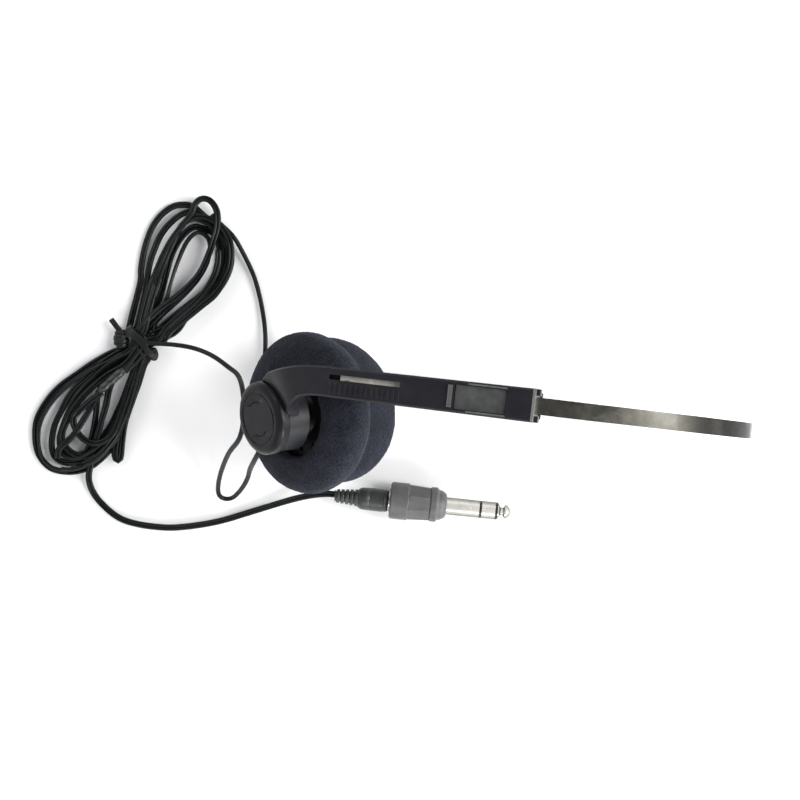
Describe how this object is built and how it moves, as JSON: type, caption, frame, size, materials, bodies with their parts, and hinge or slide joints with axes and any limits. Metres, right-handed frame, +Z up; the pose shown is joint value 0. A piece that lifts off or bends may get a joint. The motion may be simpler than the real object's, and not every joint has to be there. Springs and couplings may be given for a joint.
{
  "type": "radio headphones",
  "caption": "Lightweight on-ear radio headphones lying on their side: spring-steel headband, sliding arms, swivelling foam ear cups, tied cable and plug with step-up adapter.",
  "frame": {"origin": "centre of the footprint on the table, with the set lying on its right arm", "axes": "+Z up from the table; +X towards the crown of the headband; the upper cup is the left one"},
  "size_m": [0.2475, 0.1225, 0.1193],
  "materials": {
    "band_steel": "dark grained spring steel, satin",
    "arm_plastic": "black moulded plastic, low sheen",
    "plate_grey": "grey satin plate",
    "liner_plastic": "natural nylon",
    "chrome_steel": "bright plated",
    "foam": "dark blue-grey open-cell foam",
    "cup_plastic": "black plastic",
    "magnet_grey": "plated magnet parts",
    "copper": "enamelled copper wire",
    "film_clear": "thin yellowish film",
    "board_green": "circuit board",
    "felt_grey": "damping felt",
    "cable_pvc": "black vinyl, slight gloss",
    "tie_black": "black coated tie",
    "plug_plastic": "black vinyl moulding",
    "adapter_plastic": "dark grey moulded plastic",
    "insulator_black": "black insulator",
    "contact_brass": "sprung contacts"
  },
  "bodies": {
    "headband": {"headband_strip": "band_steel", "band_end_stops": "chrome_steel", "left_lead": "cable_pvc", "right_lead": "cable_pvc", "cable_bundle": "cable_pvc", "cable_tie": "tie_black", "y_splitter": "cable_pvc", "main_lead": "cable_pvc", "plug_handle": "plug_plastic", "plug_sleeve": "chrome_steel", "plug_ring": "chrome_steel", "plug_tip": "chrome_steel", "plug_insulators": "insulator_black"},
    "left_arm_body": {"left_arm": "arm_plastic", "left_friction_plate": "plate_grey", "left_end_clip": "plate_grey", "left_ball_socket": "cup_plastic", "left_hub_cap": "arm_plastic", "left_lead_grommet": "cable_pvc"},
    "left_seat_body": {"left_ball_seat": "liner_plastic"},
    "left_cup_body": {"left_ball_stud": "chrome_steel", "left_housing": "cup_plastic", "left_baffle": "cup_plastic", "left_driver_frame": "cup_plastic", "left_yoke": "magnet_grey", "left_magnet": "magnet_grey", "left_top_plate": "magnet_grey", "left_voice_coil": "copper", "left_diaphragm": "film_clear", "left_terminal_board": "board_green", "left_damping_felt": "felt_grey", "left_foam_pad": "foam"},
    "right_arm_body": {"right_arm": "arm_plastic", "right_friction_plate": "plate_grey", "right_end_clip": "plate_grey", "right_ball_socket": "cup_plastic", "right_hub_cap": "arm_plastic", "right_lead_grommet": "cable_pvc"},
    "right_seat_body": {"right_ball_seat": "liner_plastic"},
    "right_cup_body": {"right_ball_stud": "chrome_steel", "right_housing": "cup_plastic", "right_baffle": "cup_plastic", "right_driver_frame": "cup_plastic", "right_yoke": "magnet_grey", "right_magnet": "magnet_grey", "right_top_plate": "magnet_grey", "right_voice_coil": "copper", "right_diaphragm": "film_clear", "right_terminal_board": "board_green", "right_damping_felt": "felt_grey", "right_foam_pad": "foam"},
    "adapter": {"adapter_body": "adapter_plastic", "adapter_nose": "adapter_plastic", "adapter_socket_bush": "chrome_steel", "adapter_contacts": "contact_brass", "adapter_sleeve": "chrome_steel", "adapter_ring": "chrome_steel", "adapter_tip": "chrome_steel", "adapter_insulators": "insulator_black"}
  },
  "joints": [
    {"name": "left_arm_slide", "type": "slide", "parent": "headband", "child": "left_arm_body", "axis": [-0.9714, 0.1147, -0.2079], "range_m": [-0.002, 0.035], "deforming": ["left_lead"]},
    {"name": "left_cup_tilt", "type": "hinge", "parent": "left_arm_body", "child": "left_seat_body", "pos_m": [-0.02706, -0.01736, 0.08465], "axis": [0.2318, -0.9705, 0.0661], "range_deg": [-21, 11]},
    {"name": "left_cup_swivel", "type": "hinge", "parent": "left_seat_body", "child": "left_cup_body", "pos_m": [-0.02706, -0.01736, 0.08465], "axis": [-0.7009, -0.2138, -0.6805], "range_deg": [-15, 7]},
    {"name": "right_arm_slide", "type": "slide", "parent": "headband", "child": "right_arm_body", "axis": [-0.9933, 0.1157, 0], "range_m": [-0.002, 0.035], "deforming": ["right_lead"]},
    {"name": "right_cup_tilt", "type": "hinge", "parent": "right_arm_body", "child": "right_seat_body", "pos_m": [-0.02, -0.0177, 0.01751], "axis": [-0.2395, 0.9709, 0.0067], "range_deg": [-29, 3]},
    {"name": "right_cup_swivel", "type": "hinge", "parent": "right_seat_body", "child": "right_cup_body", "pos_m": [-0.02, -0.0177, 0.01751], "axis": [0.7486, 0.189, -0.6355], "range_deg": [-12, 12]},
    {"name": "adapter_pull", "type": "slide", "parent": "headband", "child": "adapter", "axis": [0.9948, -0.1023, 0], "range_m": [0, 0.022]}
  ]
}
